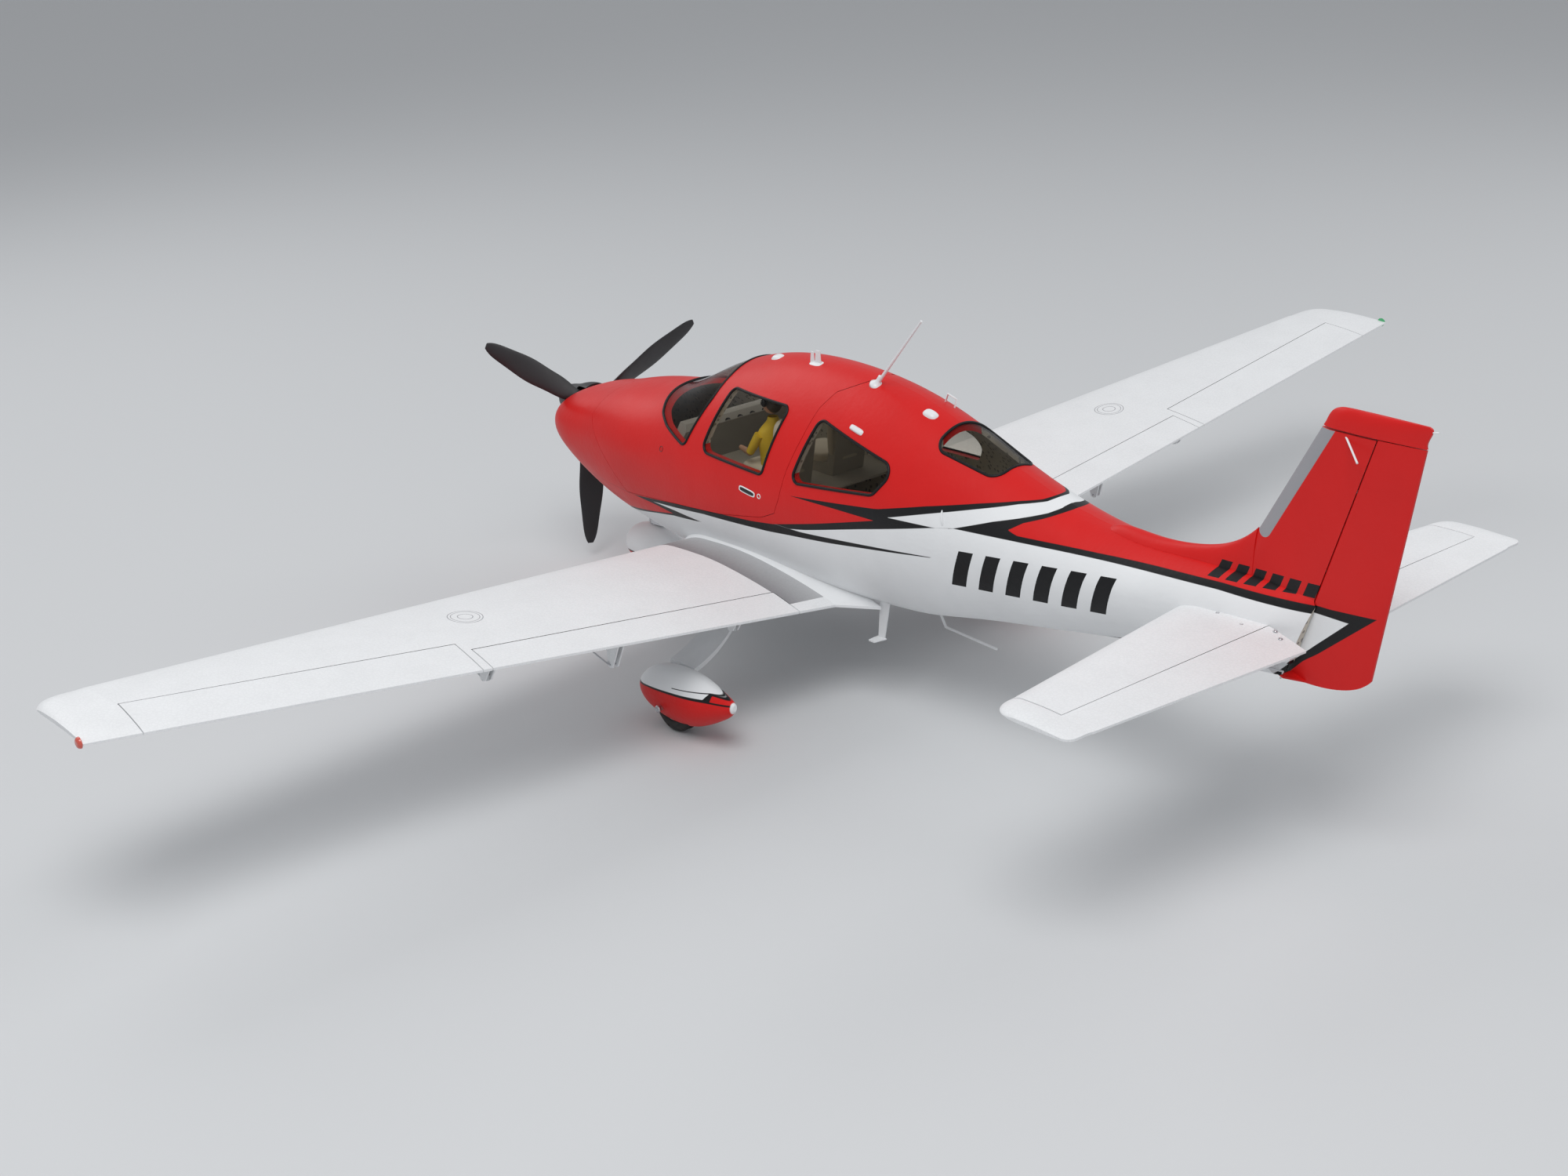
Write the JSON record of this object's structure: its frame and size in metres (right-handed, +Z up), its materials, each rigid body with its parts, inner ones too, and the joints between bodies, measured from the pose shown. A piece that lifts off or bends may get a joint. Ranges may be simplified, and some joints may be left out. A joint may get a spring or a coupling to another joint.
{
  "type": "radio control foam airplane",
  "caption": "Low-wing foam model aeroplane with propeller, opening canopy, steerable nose wheel and working control surfaces on pushrods.",
  "frame": {"origin": "on the ground under the middle of the model's length and span", "axes": "-Y towards the nose, +X towards the left wing tip, +Z up"},
  "size_m": [1.5, 1.0641, 0.358],
  "materials": {
    "white_foam": "satin",
    "smoked_glazing": "gloss",
    "plywood": "matte",
    "motor_metal": "satin",
    "electronics": "satin",
    "battery_wrap": "gloss",
    "strap_fabric": "matte",
    "carbon_tube": "gloss",
    "black_plastic": "satin",
    "light_lens": "gloss",
    "clear_plastic": "satin",
    "white_plastic": "gloss",
    "steel_wire": "satin",
    "cockpit_grey": "matte",
    "figure_paint": "matte",
    "foam_tyre": "matte",
    "arm_plastic": "satin",
    "pushrod_wire": "satin"
  },
  "bodies": {
    "airframe": {"fuselage_left_half": "white_foam", "fuselage_right_half": "white_foam", "fin": "white_foam", "cabin_windows": "smoked_glazing", "firewall": "plywood", "motor_stator": "motor_metal", "speed_controller": "electronics", "battery": "battery_wrap", "battery_straps": "strap_fabric", "receiver": "electronics", "plywood_trays": "plywood", "left_wing": "white_foam", "right_wing": "white_foam", "joiner_tubes": "carbon_tube", "servos": "black_plastic", "nav_lights": "light_lens", "flap_brackets": "clear_plastic", "hinge_set": "white_plastic", "main_legs": "white_plastic", "main_wheel_pants": "white_plastic", "main_axles": "steel_wire", "nose_gear_block": "black_plastic", "left_stabilizer": "white_foam", "right_stabilizer": "white_foam", "aerials": "white_plastic", "boarding_steps": "white_plastic"},
    "hatch": {"canopy_hatch": "white_foam", "windscreen": "smoked_glazing", "door_windows": "smoked_glazing", "cockpit_tray": "cockpit_grey", "instrument_panel": "black_plastic", "pilot_figure": "figure_paint", "roof_fittings": "white_plastic"},
    "propeller": {"propeller": "black_plastic", "spinner": "black_plastic", "motor_bell": "motor_metal"},
    "elevator": {"elevator": "white_foam", "elevator_wire": "steel_wire"},
    "rudder": {"rudder": "white_foam"},
    "nose_gear": {"nose_strut": "steel_wire", "nose_wheel_pant": "white_plastic"},
    "nose_wheel": {"nose_wheel": "foam_tyre"},
    "left_wheel": {"left_main_wheel": "foam_tyre"},
    "right_wheel": {"right_main_wheel": "foam_tyre"},
    "elevator_arm": {"elevator_arm": "arm_plastic"},
    "elevator_pushrod": {"elevator_pushrod": "pushrod_wire"},
    "rudder_arm": {"rudder_arm": "arm_plastic"},
    "rudder_pushrod": {"rudder_pushrod": "pushrod_wire"},
    "left_aileron": {"left_aileron": "white_foam"},
    "left_aileron_arm": {"left_aileron_arm": "arm_plastic"},
    "left_aileron_pushrod": {"left_aileron_pushrod": "pushrod_wire"},
    "left_flap": {"left_flap": "white_foam"},
    "left_flap_arm": {"left_flap_arm": "arm_plastic"},
    "left_flap_pushrod": {"left_flap_pushrod": "pushrod_wire"},
    "right_aileron": {"right_aileron": "white_foam"},
    "right_aileron_arm": {"right_aileron_arm": "arm_plastic"},
    "right_aileron_pushrod": {"right_aileron_pushrod": "pushrod_wire"},
    "right_flap": {"right_flap": "white_foam"},
    "right_flap_arm": {"right_flap_arm": "arm_plastic"},
    "right_flap_pushrod": {"right_flap_pushrod": "pushrod_wire"}
  },
  "joints": [
    {"name": "hatch_lift", "type": "slide", "parent": "airframe", "child": "hatch", "axis": [0, 0, 1], "range_m": [0, 0.08]},
    {"name": "propeller_spin", "type": "hinge", "parent": "airframe", "child": "propeller", "pos_m": [0, -0.4858, 0.1674], "axis": [0, -1, 0], "continuous": true},
    {"name": "left_aileron_hinge", "type": "hinge", "parent": "airframe", "child": "left_aileron", "pos_m": [0.5645, -0.079, 0.15957], "axis": [-0.9917, 0.0479, -0.1194], "range_deg": [-22, 22]},
    {"name": "left_aileron_servo", "type": "hinge", "parent": "airframe", "child": "left_aileron_arm", "pos_m": [0.55643, -0.13067, 0.1586], "axis": [-0.9917, 0.0479, -0.1194], "range_deg": [-22, 22]},
    {"name": "left_aileron_rod_pivot", "type": "hinge", "parent": "left_aileron_arm", "child": "left_aileron_pushrod", "pos_m": [0.5581, -0.13067, 0.1447], "axis": [-0.9917, 0.0479, -0.1194], "range_deg": [-22, 22]},
    {"name": "right_aileron_hinge", "type": "hinge", "parent": "airframe", "child": "right_aileron", "pos_m": [-0.5645, -0.079, 0.15957], "axis": [0.9917, 0.0479, -0.1194], "range_deg": [-22, 22]},
    {"name": "right_aileron_servo", "type": "hinge", "parent": "airframe", "child": "right_aileron_arm", "pos_m": [-0.55643, -0.13067, 0.1586], "axis": [0.9917, 0.0479, -0.1194], "range_deg": [-22, 22]},
    {"name": "right_aileron_rod_pivot", "type": "hinge", "parent": "right_aileron_arm", "child": "right_aileron_pushrod", "pos_m": [-0.5581, -0.13067, 0.1447], "axis": [0.9917, 0.0479, -0.1194], "range_deg": [-22, 22]},
    {"name": "left_flap_hinge", "type": "hinge", "parent": "airframe", "child": "left_flap", "pos_m": [0.2715, -0.0494, 0.10642], "axis": [-0.9926, 0.0224, -0.1194], "range_deg": [0, 35]},
    {"name": "left_flap_servo", "type": "hinge", "parent": "airframe", "child": "left_flap_arm", "pos_m": [0.28832, -0.12784, 0.12255], "axis": [-0.9926, 0.0224, -0.1194], "range_deg": [0, 35]},
    {"name": "left_flap_rod_pivot", "type": "hinge", "parent": "left_flap_arm", "child": "left_flap_pushrod", "pos_m": [0.28963, -0.12784, 0.11162], "axis": [-0.9926, 0.0224, -0.1194], "range_deg": [-35, 0]},
    {"name": "right_flap_hinge", "type": "hinge", "parent": "airframe", "child": "right_flap", "pos_m": [-0.2715, -0.0494, 0.10642], "axis": [-0.9926, -0.0224, 0.1194], "range_deg": [0, 35]},
    {"name": "right_flap_servo", "type": "hinge", "parent": "airframe", "child": "right_flap_arm", "pos_m": [-0.28832, -0.12784, 0.12255], "axis": [-0.9926, -0.0224, 0.1194], "range_deg": [0, 35]},
    {"name": "right_flap_rod_pivot", "type": "hinge", "parent": "right_flap_arm", "child": "right_flap_pushrod", "pos_m": [-0.28963, -0.12784, 0.11162], "axis": [-0.9926, -0.0224, 0.1194], "range_deg": [-35, 0]},
    {"name": "elevator_hinge", "type": "hinge", "parent": "airframe", "child": "elevator", "pos_m": [0, 0.415, 0.181], "axis": [1, 0, 0], "range_deg": [-20, 20]},
    {"name": "elevator_servo", "type": "hinge", "parent": "airframe", "child": "elevator_arm", "pos_m": [-0.029, 0.2, 0.175], "axis": [1, 0, 0], "range_deg": [-20, 20]},
    {"name": "elevator_rod_pivot", "type": "hinge", "parent": "elevator_arm", "child": "elevator_pushrod", "pos_m": [-0.029, 0.2, 0.161], "axis": [1, 0, 0], "range_deg": [-20, 20]},
    {"name": "rudder_hinge", "type": "hinge", "parent": "airframe", "child": "rudder", "pos_m": [0, 0.4565, 0.241], "axis": [0, 0.3345, 0.9424], "range_deg": [-25, 25]},
    {"name": "rudder_servo", "type": "hinge", "parent": "airframe", "child": "rudder_arm", "pos_m": [0, 0.2151, 0.13313], "axis": [0, 0.3345, 0.9424], "range_deg": [-25, 25]},
    {"name": "rudder_rod_pivot", "type": "hinge", "parent": "rudder_arm", "child": "rudder_pushrod", "pos_m": [0.016, 0.2151, 0.13313], "axis": [0, 0.3345, 0.9424], "range_deg": [-25, 25]},
    {"name": "nose_steer", "type": "hinge", "parent": "airframe", "child": "nose_gear", "pos_m": [0, -0.388, 0.09], "axis": [0, 0, 1], "range_deg": [-25, 25]},
    {"name": "nose_wheel_spin", "type": "hinge", "parent": "nose_gear", "child": "nose_wheel", "pos_m": [0, -0.388, 0.024], "axis": [1, 0, 0], "continuous": true},
    {"name": "left_wheel_spin", "type": "hinge", "parent": "airframe", "child": "left_wheel", "pos_m": [0.208, -0.08, 0.026], "axis": [1, 0, 0], "continuous": true},
    {"name": "right_wheel_spin", "type": "hinge", "parent": "airframe", "child": "right_wheel", "pos_m": [-0.208, -0.08, 0.026], "axis": [1, 0, 0], "continuous": true}
  ],
  "couplings": [
    {"joint": "left_aileron_servo", "follows": "left_aileron_hinge", "ratio": 1},
    {"joint": "left_aileron_rod_pivot", "follows": "left_aileron_hinge", "ratio": -1},
    {"joint": "right_aileron_hinge", "follows": "left_aileron_hinge", "ratio": 1},
    {"joint": "right_aileron_servo", "follows": "left_aileron_hinge", "ratio": 1},
    {"joint": "right_aileron_rod_pivot", "follows": "left_aileron_hinge", "ratio": -1},
    {"joint": "left_flap_servo", "follows": "left_flap_hinge", "ratio": 1},
    {"joint": "left_flap_rod_pivot", "follows": "left_flap_hinge", "ratio": -1},
    {"joint": "right_flap_hinge", "follows": "left_flap_hinge", "ratio": 1},
    {"joint": "right_flap_servo", "follows": "left_flap_hinge", "ratio": 1},
    {"joint": "right_flap_rod_pivot", "follows": "left_flap_hinge", "ratio": -1},
    {"joint": "elevator_servo", "follows": "elevator_hinge", "ratio": 1},
    {"joint": "elevator_rod_pivot", "follows": "elevator_hinge", "ratio": -1},
    {"joint": "rudder_servo", "follows": "rudder_hinge", "ratio": 1},
    {"joint": "rudder_rod_pivot", "follows": "rudder_hinge", "ratio": -1},
    {"joint": "nose_steer", "follows": "rudder_hinge", "ratio": -1}
  ]
}
